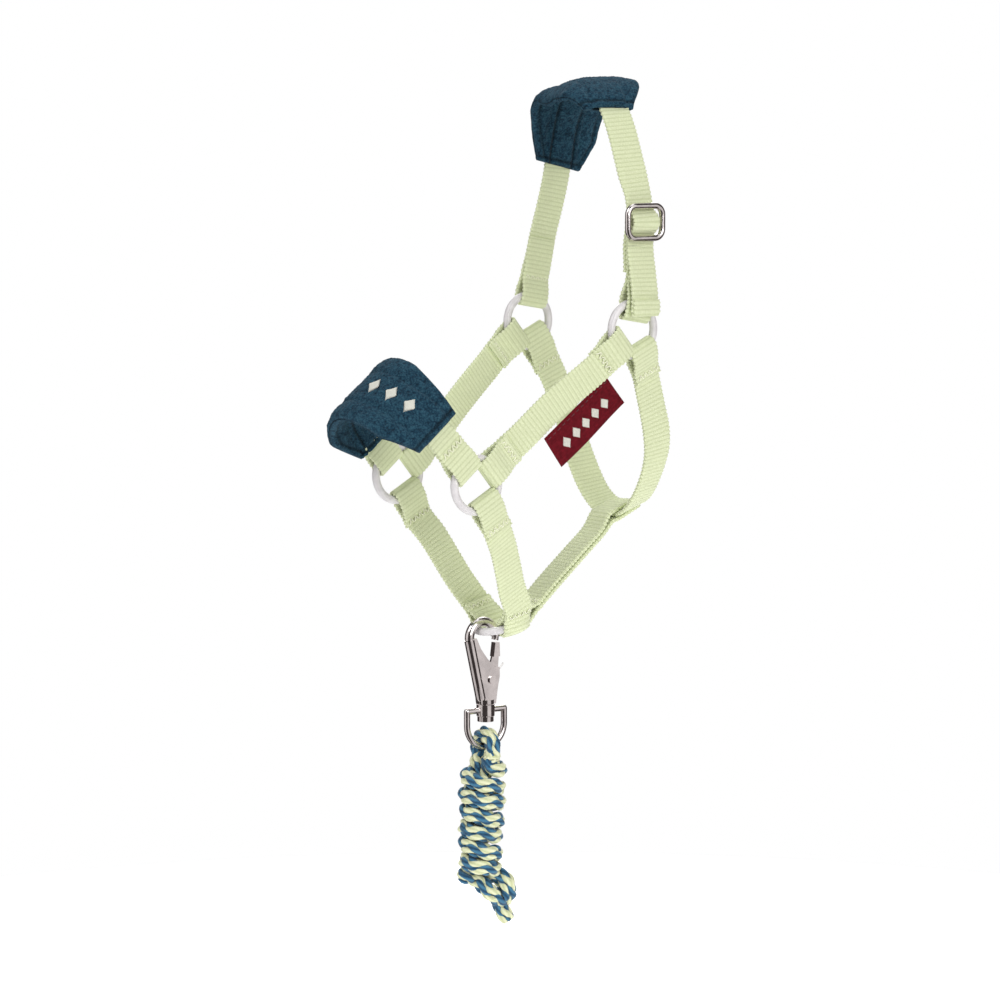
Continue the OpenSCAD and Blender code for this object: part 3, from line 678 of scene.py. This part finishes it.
def make_crown():
    far = far_place(side_place(CHEEK, CROWN_A))
    path = FAR_LEG[1:] + POLL_ARC + NEAR_LEG + THROUGH
    long_tail = [(12.5, 1.15), (15.5, 1.25), (18.6, 1.2)]
    rows = fold(far, vec(0, 0.98, -0.17), tail=-1, more=long_tail, slack=0.8)
    rows += [row(p, crown_width(p)) for p in path]
    add_strap("crown_strap_webbing", rows, "crown_strap")

    near = side_place(CHEEK, CROWN_A)
    loop = [(27.6, -2.3, -55.6), (27.25, -2.3, -50.5), (27.35, -2.2, -46.8), (27.95, -2.2, -45.2),
            (29.3, -2.2, -44.2), (30.3, -2.2, -43.2), (30.2, -2.2, -41.9), (28.8, -2.2, -41.05),
            (27.5, -2.2, -41.8), (27.15, -2.2, -43.5), (26.6, -2.2, -46), (26.1, -2.3, -50.5),
            (26.3, -2.3, -55.6), (26.2, -2.3, -58.2)]
    rows = fold(near, vec(0, 0.98, -0.17), tail=1, slack=1.35) + [row(p, FORE_AFT) for p in loop]
    add_strap("slider_strap_webbing", rows, "slider_strap")

    # the free tail below the slider, its end hemmed
    tail = [(BEHIND, -2.8, -50.05), (29.1, -2.8, -54.3), (30.2, -2.8, -59.8), (31.2, -2.9, -65.3),
            (31.35, -3, -69.6), (31.45, -3, -70.9), (31.9, -3, -71.35), (32.35, -3, -70.8),
            (32.4, -3, -69.5), (32.2, -2.95, -66.6)]
    obj = add_mesh("crown_tail_webbing", *strap([row(p, FORE_AFT) for p in tail]))
    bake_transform(obj)
    obj.data.materials.append(WEBBING)
    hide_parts("crown_tail")


make_crown()

# the cheek straps, half of the throat strap and the near chin strap, with their widths' directions
CHEEK_RUN = math.hypot(CHEEK[1] - NOSE[1], CHEEK[2] - NOSE[2])
THROAT = [(24.4, 4.2, -96), (23.6, 6.3, -102), (22.9, 8.3, -108.4), (21.6, 9.7, -114.6),
          (19.4, 10.3, -120), (16.6, 10.6, -125), (13.4, 10.8, -129.4), (9.8, 11, -132.8),
          (5.4, 11, -135)]
THROAT_WIDTH = [(0, 0.93, 0.36), (0, 0.94, 0.33), (0.05, 0.95, 0.3), (0, 0.97, 0.25),
                (-0.08, 0.97, 0.21), (-0.1, 0.97, 0.21), (-0.08, 0.97, 0.22),
                (-0.05, 0.96, 0.26), (0, 0.93, 0.36)]
CHIN = [(18.8, -48.4, -142.3), (16.2, -44.4, -150.3), (14, -41.4, -156.4)]
CHIN_WIDTH = [(0, 0.88, 0.47), (0, 0.9, 0.43), (0, 0.93, 0.37)]


def cheek_at(f, x):
    """A point out at x, f of the way from the cheek ring down to the nose ring."""
    return vec(x, CHEEK[1] + f * (NOSE[1] - CHEEK[1]), CHEEK[2] + f * (NOSE[2] - CHEEK[2]))


def make_headstall():
    cheek = fold(side_place(CHEEK, CHEEK_A), turn_x(CHEEK_A + 90), tail=-1)
    cheek += [row(p, turn_x(CHEEK_A + 90)) for p in
              (cheek_at(0.3, 26.7), cheek_at(0.5, 24) + 0.5 * turn_x(CHEEK_A - 90),
               cheek_at(0.7, 21.8))]
    cheek += fold(side_place(NOSE, CHEEK_A - 180), turn_x(CHEEK_A + 90), tail=1)[::-1]
    add_strap("near_cheek_webbing", cheek, "near_cheek_strap")
    add_strap("far_cheek_webbing", flip(cheek), "far_cheek_strap")

    place, across = side_place(CHEEK, THROAT_A, THROAT_LEAN), turn_x(THROAT_A + 90)
    near = fold(place, across, tail=1, slack=0.8)
    far = fold(place, across, tail=1, slack=1.4)
    half = [row(p, a) for p, a in zip(THROAT, THROAT_WIDTH)]
    middle = [row((0, 11, -135.2), (0, 0.9, 0.43))]
    add_strap("throat_webbing", near + half + middle + flip(far + half)[::-1], "throat_strap")

    radial, tangent, _ = lead_axes(0)
    chin = fold(side_place(NOSE, CHIN_A), turn_x(CHIN_A + 90), tail=1)
    chin += [row(p, a) for p, a in zip(CHIN, CHIN_WIDTH)]
    chin += fold(lead_place(0, 64), tangent, tail=1, profile=SNUG_FOLD, bow=-BOW * radial)[::-1]
    add_strap("near_chin_webbing", chin, "near_chin_strap")
    add_strap("far_chin_webbing", flip(chin), "far_chin_strap")

    # the connector: one length folded round the lead ring, its ends above and below the throat
    radial, tangent, _ = lead_axes(90)
    wide = vec(-1, 0, 0)
    n, along = unit(vec(0, -0.43, 0.9)), unit(vec(0, 0.9, 0.43))
    seat, lift = vec(0, 7.4, -136.9), HALF_T + 0.14
    under = unit(vec(0, -0.63, 0.77))
    mid = [vec(0, -15.5, -156.3), vec(0, -6, -148.3), vec(0, 1, -142.4)]
    upper = [row(p + lift * under, wide) for p in mid]
    upper += [row(seat + 1.62 * n - 3 * along, wide), row(seat + 1.6 * n, wide),
              row(seat + 1.55 * n + 4.2 * along, wide)]
    lower = [row(p - lift * under, wide) for p in mid]
    lower += [row(seat - 1.1 * n - 3.2 * along, wide), row(seat - 1.45 * n, wide),
              row(seat - 1.5 * n + 5 * along, wide), row(seat - 1.5 * n + 9 * along, wide)]
    turn = fold(lead_place(90, 22), wide, profile=SNUG_FOLD, bow=-BOW * radial)[1:-1]
    add_strap("chin_connector_webbing", upper[::-1] + turn + lower, "chin_connector")


make_headstall()


def nose_at(x, s):
    """A point of the noseband's plane, s from the nose rings' axis."""
    return vec(x, NOSE[1], NOSE[2]) + s * turn_x(NOSEBAND_A)


NOSE_HALF = [nose_at(*p) for p in ((21.25, 15.5), (20.9, 19), (19.6, 23.6), (16.6, 28.8),
                                   (11.9, 33.4), (6.1, 36.8), (0, 38.1))]
NOSE_PATH = NOSE_HALF + mirrored(NOSE_HALF[:-1])[::-1]
NOSE_WIDE = turn_x(NOSEBAND_A - 90)


def make_noseband():
    near = fold(side_place(NOSE, NOSEBAND_A), NOSE_WIDE, tail=-1)
    rows = near + [row(p, NOSE_WIDE) for p in NOSE_PATH[1:-1]]
    rows += [[-r[0], *r[1:]] for r in near][::-1]
    add_strap("noseband_webbing", rows, "noseband_strap")


make_noseband()

# ---------------------------------------------------------------- fleece sleeves
SLEEVE_W, FLEECE_T = 27, 1.4
# from the strap's middle line: where the two panels meet beside it, and the quilting seams
SEAM_U, CREASE_U = HALF_W + 1, 4.3
PANEL_LO = HALF_T + 0.08
COLUMNS = 65
POLL_PATH = [vec(*p) - vec(0, max(0, p[0]) / 8, 0) for p in
             [(-24, 4.2, -27.6)] + FAR_LEG[5:] + POLL_ARC + [NEAR_LEG[0], (15.9, -3.5, -7.7)]]
NOSE_SLEEVE = [nose_at(20.4, 21.6)] + NOSE_PATH[2:11] + [nose_at(-20.9, 18.6), nose_at(-21.4, 13)]


def smoothstep(x):
    x = np.clip(x, 0, 1)
    return x * x * (3 - 2 * x)


def panel_profile(u, s, total, half, quilted):
    """Heights of a panel's two faces above the strap's middle, and how much painted shade its
    creases get.
    """
    end = np.minimum(s, total - s)
    border = np.minimum((half - np.abs(u)) * 0.86, end)
    lo = 0.06 + (PANEL_LO - 0.06) * smoothstep((SEAM_U + 0.1 - np.abs(u)) / 1.1)
    rounded = np.sqrt(np.clip(1 - (1 - np.clip(border, 0, 1)) ** 2, 0, 1))
    seam = np.exp(-((np.abs(u) - CREASE_U) / 0.55) ** 2)
    hem = np.exp(-((border - 2.1) / 0.5) ** 2)
    end_hem = np.exp(-((end - 1.9) / 0.42) ** 2)
    puff = 1 + 0.35 * smoothstep((np.abs(u) - SEAM_U) / 2) * smoothstep(border / 3)
    thick = FLEECE_T * rounded * puff * (1 - quilted * 0.5 * seam) * (1 - quilted * 0.3 * hem)
    thick *= 1 - 0.25 * end_hem
    # how dark the painted shade is in the end hems, the quilting seams and the side hems
    crease_shade = np.maximum(end_hem * 0.8, quilted * np.maximum(0.75 * seam, 0.5 * hem))
    return lo, lo + np.maximum(thick, 0.05), crease_shade


def soften(values, steps):
    """Rows or numbers averaged with their neighbours, the ends held."""
    kernel = np.hanning(2 * steps + 3)[1:-1]
    kernel /= kernel.sum()
    flat = np.atleast_2d(values.T).T
    out = np.column_stack([np.convolve(np.pad(flat[:, k], len(kernel) // 2, mode="reflect",
                                              reflect_type="odd"), kernel, "valid")
                           for k in range(flat.shape[1])])
    return out.reshape(values.shape)


def sagged(rows, side, u, sag):
    """A panel's middle surface, its front margin hanging by sag where the strap runs level."""
    level = unit(np.gradient(rows[:, :3], axis=0))[:, 0] ** 4
    front = np.clip((-u * np.sign(side[:, 1:2]) - 3) / 10, 0, 2) ** 2
    base = rows[:, None, :3] + side[:, None] * u[..., None]
    base[..., 2] -= sag * level[:, None] * front
    return base


def end_strips(rings, sides):
    """Faces that close a panel's two ends, between its outer and inner face."""
    out = []
    for start, order in ((0, -1), ((rings - 1) * sides, 1)):
        top = [start + k for k in range(COLUMNS)]
        bottom = [top[0]] + [start + sides - k for k in range(1, COLUMNS - 1)] + [top[-1]]
        for k in range(COLUMNS - 1):
            quad = [top[k], top[k + 1], bottom[k + 1], bottom[k]][::order]
            out.append(tuple(dict.fromkeys(quad)))
    return out


def add_sleeve(name, path, across, ends, sign, quilted, cad_node, seed, cut, tilt, sag):
    """One fleece panel, on the side of the strap that sign says."""
    rows, s = resample(smooth(np.hstack([path, across]), 12), 0.42)
    rows = soften(rows, 5)
    along, side, normal = frames(rows[:, :3], rows[:, 3:6])
    total = s[-1]
    even = np.linspace(-1, 1, COLUMNS)
    f = 0.45 * np.sin(even * math.pi / 2) + 0.55 * even
    reach = [np.minimum(1, np.minimum(s / cut[k], (total - s) / cut[k + 2])) for k in (0, 1)]
    end_w = ends[0] + (ends[1] - ends[0]) * s / total
    front, rear = [(end_w + (SLEEVE_W - end_w) * soften(r, 3)) / 2 for r in reach]
    half = np.where(f < 0, front[:, None], rear[:, None])
    u = half * f
    lo, hi, crease_shade = panel_profile(u, s[:, None], total, half, quilted)
    base = sagged(rows, side, u, sag)
    slide = tilt * (1 - f) / 2 * np.clip(1 - s[:, None] / 14, 0, 1)
    base += slide[..., None] * along[:, None]
    wave = fbm((base + seed).reshape(-1, 3), 7.0, 2).reshape(u.shape)
    tuft = fbm((base - seed).reshape(-1, 3), 0.9, 3).reshape(u.shape)
    plump = np.clip((hi - lo) / FLEECE_T, 0, 1)
    hi = hi + plump * (0.5 * wave + 0.22 * tuft)
    inner, outer = [base + sign * h[..., None] * normal[:, None] for h in (lo, hi)]
    rings = np.concatenate([outer, inner[:, -2:0:-1]], axis=1)
    sides = rings.shape[1]
    faces = tube_faces(len(s), sides, capped=False) + end_strips(len(s), sides)
    obj = add_mesh(name, rings.reshape(-1, 3), [q for q in faces if len(q) > 2])
    # painted shade of the creases, on the outer face only, kept as a vertex attribute for the
    # fleece colour
    shade = np.concatenate([crease_shade, 0 * crease_shade[:, -2:0:-1]], axis=1).astype(np.float32)
    obj.data.attributes.new("crease_shade", "FLOAT", "POINT").data.foreach_set("value", shade.ravel())
    dress(obj, FLEECE, body_of(cad_node), "fleece", cad_node)


def add_seams(name, path, across, sign, cad_node):
    """Backstitch in short pieces along both quilting seams, sunk into the inner panel's face."""
    rows, s = resample(smooth(np.hstack([path, across]), 12), 0.3)
    _, side, normal = frames(rows[:, :3], rows[:, 3:6])
    parts = []
    for u in (-CREASE_U, CREASE_U):
        for i in range(6, len(s) - 14, 8):
            k = slice(i, i + 7)
            height = 1.36 - 0.22 * np.linspace(-1, 1, 7) ** 4
            path = rows[k, :3] + u * side[k] + sign * height[:, None] * normal[k]
            parts.append(tube(path, 0.2, 7))
    dress(joined(name, parts), FLEECE_THREAD, body_of(cad_node), "fleece_thread", cad_node)


def make_sleeves():
    poll_across = [crown_width(p) for p in POLL_PATH]
    nose_across = [NOSE_WIDE] * len(NOSE_SLEEVE)
    # ends: widths; cut: how far each corner is cut back, front and rear, at its two ends;
    # tilt: how far the first end's front corner rides up the strap; sag: the front margin's hang
    for kind, path, across, seed, inner, ends, cut, tilt, sag in (
            ("poll", POLL_PATH, poll_across, 3.0, -1, (17, 17), (22, 9, 9, 12), 2.6, 5.5),
            ("nose", NOSE_SLEEVE, nose_across, 9.0, 1, (17.5, 14), (12, 20, 12, 12), 0, 0)):
        path, across = np.array(path), np.array(across)
        for face, sign in (("outer", -1), ("inner", 1)):
            add_sleeve(f"{kind}_fleece_{face}", path, across, ends, sign * inner, face == "inner",
                       f"{kind}_sleeve_{face}", seed + sign, cut, tilt, sag)
        add_seams(f"{kind}_seam_thread", path, across, inner, f"{kind}_seams")


make_sleeves()

# ---------------------------------------------------------------- sewing
ZIGZAGS, ZIGZAG_REACH, UNEVEN = 9, 4.3, 0.06


def stitch(a, b, normal, radius=0.23, bulge=0.16):
    """One stitch from a to b, standing a little proud in the middle and diving at its ends."""
    t = np.linspace(0, 1, 7)[:, None]
    lift = bulge * (1 - (2 * t - 1) ** 2) - 0.3 * np.abs(2 * t - 1) ** 5
    return tube(a + t * (b - a) + lift * normal, radius, 8)


def zigzag(place, near_d, far_d, h):
    """A zigzag of stitches across a strap at a fold, at height h over its middle."""
    us = np.linspace(-ZIGZAG_REACH, ZIGZAG_REACH, ZIGZAGS + 1)
    normal = unit(place(0, 1) - place(0, 0)) * (1 if h > 0 else -1)
    corner = [place(near_d if i % 2 else far_d, h, u + rng.normal(0, UNEVEN))
              for i, u in enumerate(us)]
    return [stitch(a, b, normal) for a, b in zip(corner, corner[1:])]


def tack(place, thick=((1.30, 1), (1.08, -1)), near_d=6.1, far_d=8.1):
    """The same zigzag on both faces of a fold."""
    return [s for h, side in thick for s in zigzag(place, near_d, far_d, h * side)]


def make_stitches():
    near = side_place(CHEEK, CROWN_A)
    far = far_place(near)
    crown = tack(near) + tack(far, near_d=4.8, far_d=6.3)
    head = []
    for place in (side_place(CHEEK, CHEEK_A), side_place(NOSE, CHEEK_A - 180),
                  side_place(CHEEK, THROAT_A, THROAT_LEAN), side_place(NOSE, CHIN_A)):
        head += tack(place) + tack(far_place(place))
    chin = lead_place(0, 64)
    for place in (chin, far_place(chin), lead_place(90, 22)):
        head += tack(place, ((1.38, 1), (1.32, -1)), near_d=4.4, far_d=6)
    nose = side_place(NOSE, NOSEBAND_A)
    band = tack(nose) + tack(far_place(nose))
    for name, parts, cad_node in (("crown_sewing", crown, "crown_stitches"),
                                  ("headstall_sewing", head, "headstall_stitches"),
                                  ("noseband_sewing", band, "noseband_stitches")):
        dress(joined(name, parts), THREAD, body_of(cad_node), "thread", cad_node)


make_stitches()

# ---------------------------------------------------------------- label
HEM_W, HEM_T = 2.2, 0.16
LABEL_YAW = math.atan2(NOSE[0] - CHEEK[0], CHEEK_RUN)
LABEL_X = math.cos(LABEL_YAW) * turn_x(CHEEK_A) + math.sin(LABEL_YAW) * vec(1, 0, 0)
LABEL_Y = turn_x(CHEEK_A + 90)
LABEL_Z = math.cos(LABEL_YAW) * vec(1, 0, 0) - math.sin(LABEL_YAW) * turn_x(CHEEK_A)
LABEL_O = cheek_at(0.43, 25.25) + (HALF_W + 0.3) * LABEL_Y


def label_point(x, y, z=0.0):
    """A point on the label, which flares and curls a little towards its free edge."""
    free = y / LABEL_W
    y -= 0.4 * (1 - free)
    x = x * (1 + 0.035 * free) + 0.3 * free
    z = z + 0.5 * free * math.sin(0.16 * x + 0.5) + 0.35 * free ** 2
    return LABEL_O + x * LABEL_X + y * LABEL_Y + z * LABEL_Z


def label_thickness(x, y, side):
    """Half of the ribbon's thickness, with its two ends turned under in a hem."""
    hem = HEM_T * (side < 0 and abs(x) > LABEL_LEN / 2 - HEM_W)
    edge = min(LABEL_LEN / 2 - abs(x), y, LABEL_W - y)
    t = 0.22 + hem + 0.04 * math.sin(20 * y)
    return t * math.sqrt(max(0.0, min(1.0, edge / 0.25)))


def make_label():
    nx, ny = 117, 45
    xs, ys = np.linspace(-0.5, 0.5, nx) * LABEL_LEN, np.linspace(0, 1, ny) * LABEL_W
    verts, uv = [], []
    for side in (1, -1):
        for y in ys:
            for x in xs:
                verts.append(label_point(x, y, side * label_thickness(x, y, side)))
                uv.append((x, y))
    faces = []
    layer = nx * ny
    for j in range(ny - 1):
        for i in range(nx - 1):
            a = j * nx + i
            faces.append((a, a + 1, a + nx + 1, a + nx))
            faces.append((layer + a, layer + a + nx, layer + a + nx + 1, layer + a + 1))
    rim = (list(range(nx)) + [j * nx + nx - 1 for j in range(1, ny)]
           + [(ny - 1) * nx + i for i in range(nx - 2, -1, -1)]
           + [j * nx for j in range(ny - 2, 0, -1)])
    for a, b in zip(rim, rim[1:] + rim[:1]):
        faces.append((a, layer + a, layer + b, b))
    sheet = add_mesh("label_ribbon", verts, faces, uv)
    dress(sheet, LABEL, "label", "label", "label")

    # five lozenges across the ribbon, and the seam that holds it to the strap, on both faces
    motif, sewing = [], []
    for i in range(-2, 3):
        for k in np.linspace(-1, 1, 17)[1:-1]:
            x, y, half = i * 4.4 + 1.6 * k, LABEL_W / 2 + 0.6, 2.4 * (1 - abs(k))
            ends = [label_point(x, y - half, 0.3), label_point(x, y + half, 0.3)]
            motif.append(stitch(*ends, LABEL_Z, 0.12, 0.1))
    for i in range(-6, 7):
        for z, n in ((0.26, LABEL_Z), (-0.42, -LABEL_Z)):
            ends = [label_point(i * 2.15 - 0.7, 1.1, z), label_point(i * 2.15 + 0.7, 1.1, z)]
            sewing.append(stitch(*ends, n, 0.15, 0.1))
    lozenges = dress(joined("label_lozenges", motif), MOTIF_THREAD, "label", "motif_thread",
                     "label_motif")
    seam = dress(joined("label_sewing", sewing), LABEL_THREAD, "label", "label_thread",
                 "label_stitches")


make_label()


def make_nose_motif():
    """Three satin-stitched lozenges on the near shoulder of the nose sleeve."""
    parts = []
    for i, (x, s) in enumerate(((14.3, 31.3), (9, 35.4), (3, 37.8)), 3):
        t = unit(NOSE_HALF[i] - NOSE_HALF[i + 1])
        m = np.cross(t, NOSE_WIDE)
        m *= 1 if m.dot(turn_x(NOSEBAND_A)) > 0 else -1
        middle = nose_at(x, s) + (PANEL_LO + FLEECE_T + 0.3) * m
        for k in np.linspace(-1, 1, 17)[1:-1]:
            half = 3 * (1 - abs(k))
            p = middle + 2 * k * t
            parts.append(stitch(p - half * NOSE_WIDE, p + half * NOSE_WIDE, m, 0.16, 0.12))
    dress(joined("nose_lozenges", parts), MOTIF_THREAD, "noseband", "motif_thread", "nose_motif")


make_nose_motif()

# ---------------------------------------------------------------- metalwork and rings
def paint(material, slot, *nodes):
    """CAD nodes that are shown as they are, in a material."""
    for n in nodes:
        obj = frame["nodes"][n]
        obj.data.materials.clear()
        obj.data.materials.append(material)


def make_slider_bar():
    """A plain bar whose ends turn up to the frame's sides."""
    ends = [(1.5, -6.55), (0.7, -6.3), (0.1, -5.6), (0, -4.4), (0, 4.4), (0.1, 5.6), (0.7, 6.3),
            (1.5, 6.55)]
    path = resample(smooth([BAR + vec(x, y, 0) for x, y in ends], 8), 0.3)[0]
    bar = joined("slider_crossbar", [tube(path, BAR_R, 24)])
    dress(bar, NICKEL, "crown", "nickel", "slider_bar")


make_slider_bar()
paint(RING, "ring", "near_cheek_ring", "far_cheek_ring", "near_nose_ring", "far_nose_ring",
      "lead_ring")
paint(NICKEL, "nickel", "slider_frame", "gate", "gate_rivet", "swivel_pin",
      "swivel_eye", "hook_body")
paint(STEEL, "spring_steel", "gate_spring")

# ---------------------------------------------------------------- studio
FLOOR_R, FLOOR_SIDES, FLOOR_Z = 450, 96, -0.33


def make_floor():
    """A pale round floor well below the halter, which shiny parts don't reflect."""
    around = [2 * math.pi * i / FLOOR_SIDES for i in range(FLOOR_SIDES)]
    floor = add_mesh("studio_floor", [(FLOOR_R * math.cos(a), FLOOR_R * math.sin(a) - 30, 0)
                                      for a in around], [tuple(range(FLOOR_SIDES))])
    floor.location.z = FLOOR_Z
    m, tree, shader = make_material("pale_floor", 0.9)
    grain = node(tree, "TexNoise", {"Scale": 3.0}).outputs[0]
    tree.links.new(ramp(tree, grain, (0.3, (0.90, 0.90, 0.90)), (0.7, (0.93, 0.93, 0.93))),
                   shader.inputs["Base Color"])
    shader.inputs["Emission Color"].default_value = rgb(1, 1, 1)
    shader.inputs["Emission Strength"].default_value = 0.55
    floor.data.materials.append(m)
    floor.visible_glossy = False


def make_world():
    """A bright room with darker cards around it for reflections, white where the camera looks."""
    world = bpy.data.worlds.new("studio")
    world.use_nodes = True
    sky = world.node_tree
    background = sky.nodes["Background"]
    way = node(sky, "SeparateXYZ", {0: node(sky, "TexCoord").outputs["Generated"]}).outputs
    height = ramp(sky, math_node(sky, "MULTIPLY_ADD", way["Z"], 0.5, 0.5),
                  (0.20, (0.60, 0.57, 0.57)), (0.48, (0.80, 0.76, 0.76)),
                  (0.56, (0.92, 0.89, 0.89)), (0.95, (0.85, 0.85, 0.85)))
    angle = math_node(sky, "ARCTAN2", way["Y"], way["X"])
    cards = ramp(sky, math_node(sky, "SINE", math_node(sky, "MULTIPLY_ADD", angle, 3.0, 0.7)),
                 (0.02, (0.07, 0.06, 0.06)), (0.40, (1, 1, 1)))
    room = mixed(sky, 1.0, height, cards, "MULTIPLY")
    seen = node(sky, "LightPath").outputs["Is Camera Ray"]
    sky.links.new(mixed(sky, seen, room, (1, 1, 1, 1)), background.inputs[0])
    background.inputs[1].default_value = 1.0
    bpy.context.scene.world = world


def make_lamps():
    for name, place, size, watts in (("key", (0.3, -1.5, 1.3), 1.1, 12),
                                     ("fill", (1.7, -0.2, 0.5), 1.2, 15),
                                     ("back", (-1.3, 0.7, 0.7), 0.9, 10),
                                     ("top", (-0.2, 0.1, 1.4), 1.0, 3)):
        light = bpy.data.lights.new(name, "AREA")
        light.energy, light.size = watts, size
        lamp = bpy.data.objects.new(name, light)
        lamp.location = place
        aim = LOOK_AT - Vector(place)
        lamp.rotation_euler = aim.to_track_quat("-Z", "Y").to_euler()
        bpy.context.collection.objects.link(lamp)


make_floor()
make_world()
make_lamps()
bpy.context.scene.view_settings.view_transform = "Standard"
